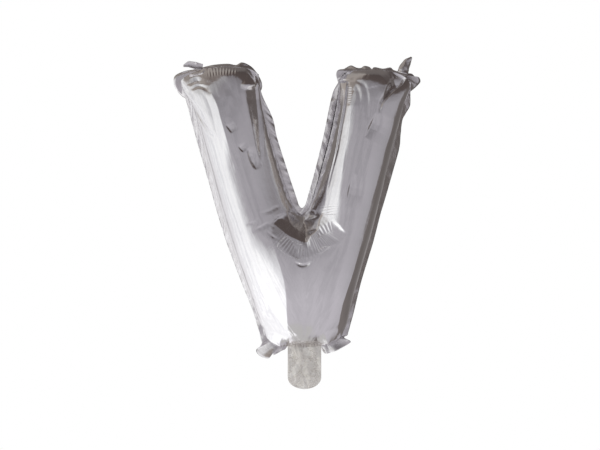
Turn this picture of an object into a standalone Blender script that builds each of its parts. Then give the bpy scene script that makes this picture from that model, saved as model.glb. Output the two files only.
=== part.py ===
"""A letter V foil balloon: two film panels, their sealed borders, two hang tabs and a filling neck."""
import bmesh
import bpy
import numpy as np

# Sizes are in millimetres and mm turns them into metres. +Z is up, +X runs to the right as the
# letter is read, and the front faces -Y. The seam lies in the plane y = 0, and the origin is the
# middle of the level line on which the two hang tabs hold the balloon.
mm = 0.001

film_wall = 1.2
seal_thickness = 0.8
seal_bite = 2.0
seal_flat = 1.0
seal_width = 6.5
seat_gap = 0.3
rim_offset = seal_thickness / 2 + seat_gap

# Outer seams: height z, seam x on the left, seam x on the right
side_seams = np.array([
    (-325.0, -39.0, 46.5),
    (-293.0, -49.6, 55.4),
    (-255.0, -64.5, 65.2),
    (-210.0, -81.4, 78.5),
    (-176.0, -92.0, 87.9),
    (-135.0, -103.8, 98.5),
    (-90.0, -116.2, 110.3),
    (-53.0, -125.7, 119.8),
    (-43.0, -129.5, 121.8),
    (-29.0, -140.0, 127.5),
    (-16.0, -142.5, 130.5),
])
side_lean = 0.96

# Fullness of the air tube: height z, the size of the round that the film takes there. The curved
# notch seam draws the film in more than the straight outer seams do.
fullness = np.array([
    (-325.0, 14.0),
    (-300.0, 50.0),
    (-270.0, 96.0),
    (-235.0, 142.0),
    (-200.0, 131.0),
    (-160.0, 132.0),
    (-110.0, 110.0),
    (-60.0, 70.0),
    (-20.0, 22.0),
])
notch_draw = 2.4
# Furrows where the film folds in, as stations along their lines: x, z, depth (less than 0 where the
# film stands proud), reach to the left or lower side, reach to the right or upper side
furrows = {
    "under the crotch": [
        (1.2, -179.0, 9.0, 22.0, 22.0),
        (2.5, -236.0, 5.0, 22.0, 22.0),
    ],
    "left of the crotch": [
        (-40.0, -187.0, 0.8, 8.0, 3.0),
        (-28.0, -181.5, 2.0, 14.0, 4.0),
        (-13.0, -174.0, 3.0, 20.0, 5.0),
        (-2.4, -175.0, 3.0, 22.0, 6.0),
    ],
    "right of the crotch": [
        (6.0, -175.0, 3.0, 20.0, 6.0),
        (24.0, -179.0, 3.0, 14.0, 5.0),
        (43.7, -191.0, 1.4, 6.0, 4.0),
        (61.4, -203.7, 0.6, 4.0, 3.0),
    ],
    "beside the notch, left": [
        (-53.0, -19.0, 1.0, 9.0, 5.0),
        (-51.5, -36.0, 5.0, 11.0, 5.0),
        (-48.4, -71.0, 3.0, 8.0, 4.0),
        (-48.0, -115.0, 0.5, 5.0, 4.0),
    ],
    "nose at the outer corner, left": [
        (-132.0, -18.0, 2.5, 4.0, 12.0),
        (-120.0, -27.0, 3.0, 4.0, 14.0),
        (-106.0, -34.0, 2.2, 4.0, 12.0),
        (-97.0, -54.0, 1.0, 4.0, 7.0),
        (-87.0, -81.0, 0.2, 4.0, 4.0),
    ],
    "lobe at the inner corner, left": [
        (-80.0, 1.0, -1.0, 5.0, 8.0),
        (-68.5, -16.0, -3.5, 5.0, 14.0),
        (-58.0, -26.0, -3.0, 5.0, 16.0),
        (-50.0, -24.0, -1.0, 5.0, 12.0),
    ],
    "beside the notch, right": [
        (55.0, -19.5, 1.6, 4.0, 4.0),
        (50.3, -53.0, 3.0, 5.0, 6.0),
        (41.3, -105.0, 2.6, 5.0, 8.0),
        (29.5, -144.0, 2.2, 5.0, 8.0),
        (19.5, -173.5, 1.5, 5.0, 8.0),
    ],
    "face beside it": [
        (57.5, -34.0, -0.6, 4.0, 26.0),
        (54.0, -88.0, -3.6, 9.0, 34.0),
        (48.0, -130.0, -3.6, 12.0, 34.0),
        (42.0, -178.0, -1.0, 15.0, 28.0),
    ],
    "dent at the outer corner, right": [
        (106.0, -2.5, 8.0, 16.0, 18.0),
        (102.7, -27.0, 6.5, 11.0, 12.0),
        (95.0, -45.0, 3.0, 6.0, 6.0),
        (89.7, -64.0, 0.6, 4.0, 4.0),
    ],
}
furrow_curve = 1.2
furrow_fade = 15.0

# The notch between the arms is a hyperbola that stands on the crotch and is tucked in at its top.
# The edge of its border is another one, drawn together to a tight U over the crotch.
crotch_z = -177.0
crotch_x = 1.2
notch_drift = -0.034
notch_spread = 0.232
notch_round = 8.6
notch_tuck = 5.0
tuck_start = 115.0
tuck_rise = 45.0
edge_spread = 0.275
edge_round = 2.7
edge_lag = 5.0
edge_start = 0.6
foot_z = -325.0
foot_x = 4.1

# Arms: side (-1 left, +1 right), height of the shoulder corners, rise of the top seam over them
arms = {-1: (-16.5, 12.5), 1: (-19.0, 11.0)}
top_blend = 70.0
foot_sag = 9.0
foot_blend = 60.0
top_dome = 30.0
foot_dome = 18.0

arm_rows = 24
stem_rows = 18
half_columns = 24
even_columns = 0.4

# The borders of the sides and of the notch lie flat, and the borders of the shoulders take over
# from them at this height
ear_start = -38.0
side_waves = np.array([
    (0.00, 0.0, 0.0, 0.0),
    (0.20, 0.0, 0.0, 0.5),
    (0.45, 0.0, 0.0, -0.5),
    (0.70, 0.0, 0.0, 0.6),
    (1.00, 0.0, 0.0, 0.0),
])
# Ears at the top corners: share of the seam's length, then how far the border's edge reaches
# beyond the plain border in x and z, and how far it turns out of the seam's plane in y
ears_left = np.array([
    (0.00, 0.0, 0.0, 0.0),
    (0.08, -1.5, -1.0, 4.0),
    (0.15, -2.0, 1.0, 0.0),
    (0.20, -1.0, 1.5, 0.0),
    (0.42, 0.0, -1.0, 0.0),
    (0.50, 0.0, -3.0, 5.0),
    (0.66, 0.0, -3.0, 5.0),
    (0.78, 0.5, -0.5, 2.0),
    (0.85, 1.0, 1.0, -2.0),
    (0.93, 0.0, 0.0, -3.0),
    (1.00, 0.0, 0.0, 0.0),
])
ears_right = np.array([
    (0.00, 0.0, 0.0, 0.0),
    (0.08, 0.0, 1.0, 4.0),
    (0.18, -1.5, 1.0, 3.0),
    (0.28, 0.0, -1.0, 3.0),
    (0.40, 0.0, -3.0, 5.0),
    (0.56, 0.0, -3.0, 5.0),
    (0.65, 0.0, -1.0, 0.0),
    (0.82, 2.0, 1.5, 0.0),
    (0.90, 2.5, 0.0, -4.0),
    (1.00, 0.0, 0.0, 0.0),
])
# Flaps of the border beside the neck, with the same columns
flaps_right = np.array([
    (0.00, 0.0, 0.0, 0.0),
    (0.12, 8.5, 0.0, -3.0),
    (0.30, 5.5, -1.8, 2.0),
    (0.50, 3.2, -2.6, 3.0),
    (0.75, 1.0, -4.5, -2.0),
    (1.00, 0.0, -1.0, 0.0),
])
flaps_left = np.array([
    (0.00, 0.0, -1.0, 0.0),
    (0.25, 0.6, -3.0, -2.0),
    (0.50, -3.0, -3.0, 2.0),
    (0.70, -3.0, -10.0, -4.0),
    (0.88, -11.0, -10.5, -5.0),
    (0.95, -9.5, -5.0, -3.0),
    (1.00, 0.0, 0.0, 0.0),
])

# Hang tabs, flat on the back of the border: x and z down the middle of the tab, half its width
tab_thickness = 0.8
tab_left = np.array([
    (-114.0, 0.5, 2.6),
    (-121.0, 0.0, 3.2),
    (-131.0, -1.2, 4.2),
    (-139.5, -2.8, 2.6),
])
tab_right = np.array([
    (120.5, -7.5, 5.0),
    (122.5, -3.5, 5.2),
    (126.0, 2.5, 4.2),
    (129.5, 8.0, 1.6),
])

# Neck: three films, 40 mm wide, hanging from the foot seam between the flaps
neck_x = 4.1
neck_top = -334.6
neck_length = 49.0
neck_half_width = 19.8
neck_round = 17.0
neck_clear = 1.2
neck_thickness = 0.7
valve_thickness = 0.6
valve_half_width = 15.0
valve_length = 40.0
valve_reach = 2.0
crinkle = 1.2

# Looks: colour, roughness, metallic
foil_silver = ((0.78, 0.77, 0.79), 0.12, 1.0)
foil_seal = ((0.70, 0.69, 0.70), 0.3, 1.0)
film_clear = ((0.74, 0.72, 0.68), 0.25, 0.4)


def add_piece(name, points, faces, colour, roughness, metallic):
    """Make one closed object from points in millimetres and a list of faces."""
    mesh = bpy.data.meshes.new(name)
    mesh.from_pydata((np.asarray(points) * mm).tolist(), [], faces)
    work = bmesh.new()
    work.from_mesh(mesh)
    bmesh.ops.recalc_face_normals(work, faces=work.faces)
    work.to_mesh(mesh)
    work.free()
    mesh.shade_smooth()
    mesh.set_sharp_from_angle(angle=np.radians(50))
    finish = bpy.data.materials.new(name)
    finish.use_nodes = True
    shader = finish.node_tree.nodes["Principled BSDF"]
    shader.inputs["Base Color"].default_value = (*colour, 1.0)
    shader.inputs["Roughness"].default_value = roughness
    shader.inputs["Metallic"].default_value = metallic
    mesh.materials.append(finish)
    piece = bpy.data.objects.new(name, mesh)
    bpy.context.scene.collection.objects.link(piece)
    piece.parent = balloon
    return piece


def grid_faces(index):
    """Quads of a grid of point numbers."""
    quads = np.stack([index[:-1, :-1], index[1:, :-1], index[1:, 1:], index[:-1, 1:]], axis=-1)
    return quads.reshape(-1, 4)


def wall(name, front, back, quads, look):
    """A closed wall between two skins with the same faces, joined all round their free edge."""
    faces = quads.tolist()
    free = {}
    for quad in faces:
        for start, end in zip(quad, quad[1:] + quad[:1]):
            if (end, start) in free:
                del free[(end, start)]
            else:
                free[(start, end)] = True
    count = len(front)
    border = [[end, start, start + count, end + count] for start, end in free]
    faces += (quads[:, ::-1] + count).tolist() + border
    points = np.concatenate([front, back])
    used = np.unique(quads)
    used = np.concatenate([used, used + count])
    place = np.zeros(len(points), dtype=int)
    place[used] = np.arange(len(used))
    return add_piece(name, points[used], [place[face].tolist() for face in faces], *look)


def outward(curve):
    """Unit normals on the left of a curve's direction of travel."""
    run = np.gradient(curve, axis=0)
    run /= np.linalg.norm(run, axis=1, keepdims=True)
    return np.stack([-run[:, 1], run[:, 0]], axis=1)


def shares(curve):
    """Distance along a curve at each of its points, as a share of its length."""
    steps = np.linalg.norm(np.diff(curve, axis=0), axis=1)
    along = np.concatenate([[0.0], np.cumsum(steps)])
    return along / along[-1]


def resample(curve, count):
    """Points at even distances along a curve."""
    places = np.linspace(0.0, 1.0, count)
    return np.stack([np.interp(places, shares(curve), column) for column in curve.T], axis=1)


def shoulder(half, from_row):
    """Seam of a shoulder: up the outer seam, along the top seam and down the notch seam."""
    outer = resample(half[from_row::-1, 0], 4)
    top = resample(half[0], 14)
    inner = resample(half[:from_row + 1, -1], 4)
    return np.concatenate([outer, top[1:], inner[1:]])


def distance(points, curve):
    """Shortest distance from each point to a run of straight segments."""
    start = curve[:-1]
    run = curve[1:] - start
    offset = points[..., None, :] - start
    share = np.clip((offset * run).sum(-1) / (run * run).sum(-1), 0.0, 1.0)
    return np.linalg.norm(offset - share[..., None] * run, axis=-1).min(-1)


def spacing(count):
    """Shares from 0 to 1, close together at both ends."""
    return (1 - np.cos(np.pi * np.arange(count + 1) / count)) / 2


def notch_curve(inset):
    """The notch seam from the left shoulder down through the crotch and up to the right shoulder."""
    halves = []
    for side in (-1, 1):
        height = (arms[side][0] - inset - crotch_z) * spacing(arm_rows)[::-1]
        half = np.sqrt((notch_spread * height) ** 2 + notch_round * height)
        half -= notch_tuck * np.clip((height - tuck_start) / tuck_rise, 0, 1) ** 2
        halves.append(np.stack([crotch_x + notch_drift * height + side * half, crotch_z + height], axis=1))
    curve = np.concatenate([halves[0], halves[1][-2::-1]])
    return curve - inset * outward(curve)


def half_grid(side, inset):
    """Half the letter: rows from the top seam to the foot, columns from the outer seam inwards."""
    notch = notch_curve(inset)[::-side][:arm_rows + 1]
    low = notch[-1, 1] + (foot_z + inset - notch[-1, 1]) * spacing(stem_rows)[1:]
    spine = np.interp(low, [foot_z, crotch_z], [foot_x, crotch_x])
    heights = np.concatenate([notch[:, 1], low])
    inner = np.concatenate([notch[:, 0], spine])
    seam = np.interp(heights, side_seams[:, 0], side_seams[:, 1 if side < 0 else 2])
    outer = seam - side * inset / side_lean
    even = np.linspace(0.0, 1.0, half_columns + 1)
    across = even_columns * even + (1 - even_columns) * spacing(half_columns)
    x = outer[:, None] + (inner - outer)[:, None] * across
    near_top = np.clip(1 - (heights[0] - heights) / top_blend, 0, 1) ** 2
    rise = near_top[:, None] * arms[side][1] * (1 - np.abs(2 * across - 1) ** 2.5)
    near_foot = np.clip(1 - (heights - heights[-1]) / foot_blend, 0, 1) ** 2
    sag = near_foot[:, None] * foot_sag * (1 - np.abs(across - 1) ** 2.2)
    return np.stack([x, heights[:, None] + rise - sag], axis=-1)


def dome(reach, near):
    """Quarter round from 0 at a seam to 1 at its reach."""
    return 1 - (1 - np.clip(near / reach, 0, 1)) ** 2


def furrow_depth(points):
    """How far the furrows draw the film in at each point."""
    total = np.zeros(points.shape[:-1])
    for stations in furrows.values():
        nearest = np.full(total.shape, np.inf)
        here = np.zeros(total.shape)
        for start, end in zip(np.array(stations[:-1]), np.array(stations[1:])):
            run = end[:2] - start[:2]
            offset = points - start[:2]
            share = np.clip(offset @ run / (run @ run), 0, 1)[..., None]
            away = offset - share * run
            gap = np.linalg.norm(away, axis=-1)
            depth, low_reach, high_reach = np.moveaxis(start[2:] + share * (end - start)[2:], -1, 0)
            upper = run[0] * away[..., 1] > run[1] * away[..., 0]
            reach = np.where(upper, high_reach, low_reach)
            drawn = depth * np.clip(1 - gap / reach, 0, 1) ** furrow_curve
            here = np.where(gap < nearest, drawn, here)
            nearest = np.minimum(gap, nearest)
        total += here
    return total


def skin(inset, facing):
    """One skin of a panel as x, half depth, z: round tubes between the seams, domed at their ends.

    The depth comes from the distances to the three seams. Their reciprocals add up, so that the
    nearest seam rules, and between two seams the depth follows a rounded arch. The back has the
    same furrows as the front, each seen from its own side.
    """
    left = half_grid(-1, inset)
    right = half_grid(1, inset)
    notch = np.concatenate([left[:arm_rows + 1, -1], right[arm_rows - 1::-1, -1]])
    foot = np.concatenate([left[-1], right[-1, -2::-1]])
    points = []
    for half in (left, right):
        near = [np.maximum(distance(half, seam), 1e-6) for seam in (left[:, 0], right[:, 0], notch)]
        tightness = 1 / near[0] + 1 / near[1] + notch_draw / near[2]
        width = np.interp(half[..., 1], fullness[:, 0], fullness[:, 1])
        ends = dome(top_dome, distance(half, half[0])) * dome(foot_dome, distance(half, foot))
        deep = np.sqrt(width / tightness * ends) - inset
        seen = half if facing < 0 else half * (-1, 1) + (2 * crotch_x, 0)
        drawn = furrow_depth(seen) * np.clip((deep + inset) / furrow_fade, 0, 1)
        deep = np.maximum(deep - drawn, 0.0)
        points.append(np.stack([half[..., 0], deep, half[..., 1]], axis=-1).reshape(-1, 3))
    return np.concatenate(points)


def panel(name, facing):
    """A film panel: outer and inner skin, with a flat rim that sits on the sealed border."""
    rows = arm_rows + stem_rows + 1
    left_index = np.arange(rows * (half_columns + 1)).reshape(rows, -1)
    right_index = left_index + left_index.size
    right_index[arm_rows:, -1] = left_index[arm_rows:, -1]
    quads = np.concatenate([grid_faces(left_index), grid_faces(right_index)[:, ::-1]])
    skins = [skin(0.0, facing), skin(film_wall, facing)]
    for points in skins:
        points[:, 1] = facing * (rim_offset + points[:, 1])
    return wall(name, skins[0], skins[1], quads, foil_silver)


def sheet(name, lines, thickness, look):
    """A thin sheet through a grid of points, with its thickness along Y."""
    index = np.arange(lines.shape[0] * lines.shape[1]).reshape(lines.shape[:2])
    middle = lines.reshape(-1, 3)
    half = np.array([0.0, thickness / 2, 0.0])
    return wall(name, middle - half, middle + half, grid_faces(index), look)


def notch_edge(seam):
    """Edge of the border in the notch, which closes to a tight U over the crotch."""
    height = seam[:, 1] - crotch_z
    edge_height = height * (1 - edge_lag / (height + edge_lag + 1.0))
    half = np.sqrt((edge_spread * edge_height) ** 2 + edge_round * np.abs(edge_height))
    side = np.sign(seam[:, 0] - crotch_x - notch_drift * height)
    x = crotch_x + notch_drift * edge_height + side * half
    return np.stack([x, crotch_z + seal_width + edge_start + edge_height], axis=1)


def border(name, seam, normals, edge, bumps):
    """A sealed border from inside the seam to its free edge, which the bumps carry outwards."""
    share = shares(seam)
    edge = edge + np.stack([np.interp(share, bumps[:, 0], bumps[:, 1]),
                            np.interp(share, bumps[:, 0], bumps[:, 2])], axis=1)
    lines = np.zeros((len(seam), 3, 3))
    lines[:, 0, ::2] = seam - seal_bite * normals
    lines[:, 1, ::2] = seam + seal_flat * normals
    lines[:, 2, ::2] = edge
    lines[:, 2, 1] = np.interp(share, bumps[:, 0], bumps[:, 3])
    for end, neighbour in ((0, 1), (-1, -2)):
        step = lines[neighbour] - lines[end]
        lines[end] += 0.5 * seat_gap * step / np.linalg.norm(step, axis=1, keepdims=True)
    return sheet(name, lines, seal_thickness, foil_seal)


def tab(name, middle):
    """A hang tab: a flat leaf on the back of the sealed border."""
    across = outward(middle[:, :2]) * middle[:, 2:]
    lines = np.zeros((len(middle), 2, 3))
    lines[:, 0, ::2] = middle[:, :2] - across
    lines[:, 1, ::2] = middle[:, :2] + across
    lines[..., 1] = seal_thickness / 2 + seat_gap + tab_thickness / 2
    return sheet(name, lines, tab_thickness, foil_seal)


def neck_sheet(name, y, thickness, half_width, top, length):
    """A film of the neck: straight sides, a round end and shallow crinkles below the seam."""
    straight = np.linspace(0.0, length - neck_round, 9)
    turn = np.radians([22.0, 42.0, 60.0, 76.0])
    drop = np.concatenate([straight, straight[-1] + neck_round * np.sin(turn) / np.sin(turn[-1])])
    narrow = np.concatenate([np.ones(len(straight)), np.cos(turn)])
    x = neck_x + half_width * narrow[:, None] * np.linspace(-1, 1, 13)
    z = np.broadcast_to((top - drop)[:, None], x.shape)
    fade = np.clip((neck_top - z) / 12.0, 0, 1)
    fold = np.sin(0.2 * x + 1.0) * np.sin(0.15 * z)
    lines = np.stack([x, y + crinkle * fade * fold, z], axis=-1)
    return sheet(name, lines, thickness, film_clear)


for item in list(bpy.data.objects):
    bpy.data.objects.remove(item)

balloon = bpy.data.objects.new("balloon", None)
bpy.context.scene.collection.objects.link(balloon)

panel("front_panel", -1)
panel("back_panel", 1)

# The seam starts left of the neck, runs up the left side, over the left arm, down and up the notch,
# over the right arm, down the right side and ends right of the neck. Its outside is on the left.
left = half_grid(-1, 0.0)
right = half_grid(1, 0.0)
ear_row = int(np.argmax(left[:, 0, 1] < ear_start))
neck_left = [[neck_x - neck_half_width - neck_clear, neck_top + 1.0]]
neck_right = [[neck_x + neck_half_width + neck_clear, neck_top + 1.0]]
foot_left = left[-1][left[-1, :, 0] < neck_left[0][0] - 1.0]
foot_right = right[-1][right[-1, :, 0] > neck_right[0][0] + 1.0]
stretches = [
    ("foot_seal_left", resample(np.concatenate([neck_left, foot_left[::-1]]), 9), flaps_left),
    ("side_seal_left", resample(left[:ear_row - 1:-1, 0], 16), side_waves),
    ("top_seal_left", shoulder(left, ear_row), ears_left),
    ("notch_seal", np.concatenate([left[ear_row:arm_rows + 1, -1], right[arm_rows - 1:ear_row - 1:-1, -1]]),
     side_waves),
    ("top_seal_right", shoulder(right, ear_row)[::-1], ears_right),
    ("side_seal_right", resample(right[ear_row:, 0], 16), side_waves),
    ("foot_seal_right", resample(np.concatenate([foot_right, neck_right]), 9), flaps_right),
]
seam = np.concatenate([stretches[0][1]] + [curve[1:] for _, curve, _ in stretches[1:]])
normals = outward(seam)
start = 0
for name, curve, bumps in stretches:
    run = slice(start, start + len(curve))
    edge = seam[run] + seal_width * normals[run]
    if name == "notch_seal":
        edge[1:-1] = notch_edge(seam[run][1:-1])
    border(name, seam[run], normals[run], edge, bumps)
    start += len(curve) - 1

tab("hang_tab_left", tab_left)
tab("hang_tab_right", tab_right)

neck_offset = (valve_thickness + neck_thickness) / 2 + seat_gap
neck_sheet("neck_front_film", -neck_offset, neck_thickness, neck_half_width, neck_top, neck_length)
neck_sheet("neck_back_film", neck_offset, neck_thickness, neck_half_width, neck_top, neck_length)
neck_sheet("valve_film", 0.0, valve_thickness, valve_half_width, neck_top + valve_reach, valve_length)
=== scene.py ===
# Letter foil balloon: the look of the blown-up foil, worked out as surfaces in numpy.
import bpy
import math
import numpy as np
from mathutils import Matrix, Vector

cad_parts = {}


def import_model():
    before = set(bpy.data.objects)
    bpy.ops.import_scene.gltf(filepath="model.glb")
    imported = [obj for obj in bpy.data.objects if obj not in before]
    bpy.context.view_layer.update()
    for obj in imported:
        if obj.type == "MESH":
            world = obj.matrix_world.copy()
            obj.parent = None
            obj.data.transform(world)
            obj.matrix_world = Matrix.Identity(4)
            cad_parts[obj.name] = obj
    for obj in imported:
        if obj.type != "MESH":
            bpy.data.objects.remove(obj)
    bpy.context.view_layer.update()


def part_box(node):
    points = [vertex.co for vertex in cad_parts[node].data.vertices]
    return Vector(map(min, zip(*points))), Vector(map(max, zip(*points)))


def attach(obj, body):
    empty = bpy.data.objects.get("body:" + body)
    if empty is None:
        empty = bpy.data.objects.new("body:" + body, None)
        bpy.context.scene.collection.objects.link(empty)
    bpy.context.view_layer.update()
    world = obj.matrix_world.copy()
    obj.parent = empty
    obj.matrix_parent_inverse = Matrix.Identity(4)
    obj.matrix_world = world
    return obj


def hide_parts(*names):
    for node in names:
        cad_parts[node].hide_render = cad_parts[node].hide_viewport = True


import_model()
print("frame loaded")

mm = 0.001
tiny = 1e-9         # keeps a division from failing

# The flat cut of one film, in millimetres, crotch of the V at (0, 0) and +Z up.
flatCut = {
    "notchAngle": 28.2,     # half opening of the notch, degrees
    "notchLength": 172.0,
    "topWidth": 94.0,
    "topTilt": -28.0,       # the outer top corner lies lower than the inner one
    "crown": 20.0,          # bow of the top edge
    "crownFades": 0.4,      # over this share of the arm
    "stemLength": 166.0,
    "shoulderX": -137.0,    # widest bow of the outer edge
    "shoulderZ": 5.0,
    "footWidth": 112.0,
    "footSag": 12.0,        # bow of the foot's edge
    "sagFades": 0.36,       # over this share of the stem
}

# The welded seam of the blown-up balloon, (x, z) stations in millimetres.
seamLines = {
    "outerLeft": [(-142, -18), (-140, -29), (-129, -43), (-125.7, -53), (-116.2, -90), (-103.8, -134.5),
                  (-92, -175.8), (-81.4, -210), (-64.3, -255), (-49.6, -292.6), (-39, -326)],
    "outerRight": [(130, -22), (126, -34), (121, -45), (119.8, -53), (110.3, -90), (98.5, -134.5),
                   (88, -175.8), (78.5, -210), (65, -256), (55.5, -292.6), (47.2, -322)],
    "notchLeft": [(-50, -12), (-50, -32), (-47, -52), (-36, -90), (-21.8, -134.5), (-12.5, -161),
                  (-8, -170), (-3, -175.5), (1.2, -177)],
    "notchRight": [(47, -15), (44, -36), (41.3, -52), (33, -90), (21.2, -134.5), (13.5, -160),
                   (10, -169), (5.5, -175.5), (1.2, -177)],
    "topLeft": [(-142, -18), (-132, -9), (-112, -5), (-90, -3), (-74, -4), (-58, -6), (-50, -12)],
    "topRight": [(130, -22), (120, -12), (103, -8), (84, -7), (66, -7), (55, -9), (47, -15)],
    "foot": [(-39, -326), (-25, -333), (4, -335), (30, -332), (47.2, -322)],
}
crotch = (1.2, -177.0)


# Blowing the balloon up.

def runLength(points):
    steps = np.linalg.norm(np.diff(points, axis=0), axis=1)
    return np.concatenate([[0.0], np.cumsum(steps)])


def along(stations, cutEdge):
    # points on the line through the stations, shared out as they are along the cut edge
    line = np.array(stations, float)
    there, here = runLength(line), runLength(cutEdge)
    here = here / here[-1] * there[-1]
    return np.stack([np.interp(here, there, line[:, 0]), np.interp(here, there, line[:, 1])], 1)


def cutSheet(armRows, stemRows, half):
    # rows run from the top edge down, columns from the outer edge to the notch or the middle line:
    # a point is outer + (inner - outer) * u, with the top bowed up and the foot bowed down
    c = flatCut
    a = math.radians(c["notchAngle"])
    up = np.linspace(1, 0, armRows + 1)[:, None]
    notch = c["notchLength"] * up * [[-math.sin(a), math.cos(a)]]
    low = -c["stemLength"] * np.arange(1, stemRows + 1) / stemRows
    inner = np.concatenate([notch, np.stack([0 * low, low], 1)])
    topX, topZ = inner[0, 0] - c["topWidth"], inner[0, 1] + c["topTilt"]
    z = np.concatenate([np.linspace(topZ, c["shoulderZ"], armRows + 1),
                        np.linspace(c["shoulderZ"], -c["stemLength"], stemRows + 1)[1:]])
    bow = np.polyfit([-c["stemLength"], c["shoulderZ"], topZ],
                     [-c["footWidth"] / 2, c["shoulderX"], topX], 2)
    outer = np.stack([np.polyval(bow, z), z], 1)
    u = np.linspace(0, 1, half + 1)
    flat = outer[:, None] + (inner - outer)[:, None] * u[:, None]
    row = np.arange(armRows + stemRows + 1)
    top = np.clip(1 - row / (c["crownFades"] * armRows), 0, 1) ** 1.5
    foot = np.clip(1 - (row[-1] - row) / (c["sagFades"] * stemRows), 0, 1) ** 1.5
    flat[..., 1] += top[:, None] * c["crown"] * (1 - (2 * u - 1) ** 2)
    flat[..., 1] -= foot[:, None] * c["footSag"] * (1 - (1 - u) ** 2)
    return np.concatenate([flat, flat[:, ::-1] * [-1, 1]], 1).astype(np.float32)


class Films:
    # the grid of both films, (2, rows, columns, 3); columns 0 to half are the left half
    leastArea = 0.001

    def __init__(self, armRows, stemRows, half, firmSides=0.3, firmEnds=0.05):
        self.arm, self.stem, self.half = armRows, stemRows, half
        self.flat = f = cutSheet(armRows, stemRows, half)
        self.rows, self.cols = f.shape[:2]

        def gap(a, b):
            return np.linalg.norm(a - b, axis=-1).astype(np.float32)
        self.across, self.down = gap(f[:, 1:], f[:, :-1]), gap(f[1:], f[:-1])
        self.slant, self.counter = gap(f[1:, 1:], f[:-1, :-1]), gap(f[1:, :-1], f[:-1, 1:])
        self.live = np.ones((self.rows, self.cols - 1), bool)
        self.live[:, half] = False
        a, b = f[1:, 1:] - f[:-1, :-1], f[1:, :-1] - f[:-1, 1:]
        cell = 0.5 * np.abs(a[..., 0] * b[..., 1] - a[..., 1] * b[..., 0]) * self.live[1:]
        share = np.zeros((self.rows, self.cols))
        for rows in (slice(1, None), slice(None, -1)):
            for cols in (slice(1, None), slice(None, -1)):
                share[rows, cols] += cell
        self.area = np.maximum(2 * share, self.leastArea).astype(np.float32)
        self.seam = np.zeros((self.rows, self.cols), bool)
        self.seam[[0, -1]] = True
        self.seam[:, [0, -1]] = True
        self.seam[:armRows + 1, half:half + 2] = True
        self.hold(firmSides, firmEnds)

    def hold(self, firmSides, firmEnds):
        # where each seam point belongs on the finished balloon, and how firmly it is drawn there
        self.goal = np.zeros((self.rows, self.cols, 3), np.float32)
        self.firm = np.zeros((self.rows, self.cols, 1), np.float32)
        f, h, arm = self.flat, self.half, slice(0, self.arm + 1)
        foot = along(seamLines["foot"], np.concatenate([f[-1, :h + 1], f[-1, h + 2:]]))
        for rows, cols, line, firm in (
                (0, slice(0, h + 1), along(seamLines["topLeft"], f[0, :h + 1]), firmEnds),
                (0, slice(None, h, -1), along(seamLines["topRight"], f[0, :h:-1]), firmEnds),
                (self.rows - 1, slice(0, h + 1), foot[:h + 1], firmEnds),
                (self.rows - 1, slice(h + 1, None), foot[h:], firmEnds),
                (slice(None), 0, along(seamLines["outerLeft"], f[:, 0]), firmSides),
                (slice(None), self.cols - 1, along(seamLines["outerRight"], f[:, -1]), firmSides),
                (arm, h, along(seamLines["notchLeft"], f[arm, h]), firmSides),
                (arm, h + 1, along(seamLines["notchRight"], f[arm, h + 1]), firmSides)):
            self.goal[rows, cols, 0], self.goal[rows, cols, 2] = line[:, 0], line[:, 1]
            self.firm[rows, cols] = firm

    def weld(self, p):
        # both films share the seam, and both halves share the middle line below the crotch
        h, arm, low = self.half, slice(0, self.arm + 1), slice(self.arm, None)
        p[:, low, h] = p[:, low, h + 1] = 0.5 * (p[:, low, h] + p[:, low, h + 1])
        every = slice(None)
        for at in ((every, 0), (every, -1), (0, every), (-1, every), (arm, h), (arm, h + 1)):
            p[0][at] = p[1][at] = 0.5 * (p[0][at] + p[1][at])


def pull(a, b, rest, live, squeeze):
    # moves the two ends of every thread half way back to its length; foil gives way under a push
    d = b - a
    length = np.sqrt(np.einsum("...i,...i->...", d, d)) + tiny
    error = (length - rest) / length
    c = d * (error * np.where(error > 0, 0.5, 0.5 * squeeze) * live)[..., None]
    a += c
    b -= c


def relax(films, p, turns, pressure, squeeze, bend=0.0, keepSpeed=0.97, fastest=1.5):
    # in each turn the air pushes every point out by pressure * face, then all threads are set right
    speed = np.zeros_like(p)
    outward = np.array([-1.0, 1.0], np.float32)[:, None, None, None]
    cells = films.live[1:]
    inside = (films.live[:, 1:] & films.live[:, :-1])[None, :, :, None]
    free = ~films.seam[None, :, :, None]
    flatWays = [0, 2]
    for turn in range(turns):
        face = np.cross(p[:, 1:, 1:] - p[:, :-1, :-1], p[:, 1:, :-1] - p[:, :-1, 1:])
        face = face * cells[None, :, :, None]
        push = np.zeros_like(p)
        for rows in (slice(1, None), slice(None, -1)):
            for cols in (slice(1, None), slice(None, -1)):
                push[:, rows, cols] += face
        before = p.copy()
        p = p + keepSpeed * speed + pressure * push * outward / films.area[None, :, :, None]
        for o in (0, 1):
            pull(p[:, :, o:-1:2], p[:, :, o + 1::2], films.across[:, o::2], films.live[:, o::2], squeeze)
        for o in (0, 1):
            pull(p[:, o:-1:2], p[:, o + 1::2], films.down[o::2], 1.0, squeeze)
        for o in (0, 1):
            pull(p[:, o:-1:2, :-1], p[:, o + 1::2, 1:], films.slant[o::2], cells[o::2], squeeze)
            pull(p[:, o:-1:2, 1:], p[:, o + 1::2, :-1], films.counter[o::2], cells[o::2], squeeze)
        if bend:
            curve = np.zeros_like(p)
            curve[:, 1:-1] += 0.5 * (p[:, 2:] + p[:, :-2]) - p[:, 1:-1]
            curve[:, :, 1:-1] += (0.5 * (p[:, :, 2:] + p[:, :, :-2]) - p[:, :, 1:-1]) * inside
            p += bend * curve * free
        p[..., flatWays] += (films.goal[..., flatWays] - p[..., flatWays]) * films.firm
        p[..., 1:2] -= 0.5 * p[..., 1:2] * films.firm
        films.weld(p)
        speed = p - before
        speed *= np.minimum(1, fastest / (np.abs(speed).max() + tiny))
    return p


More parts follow.
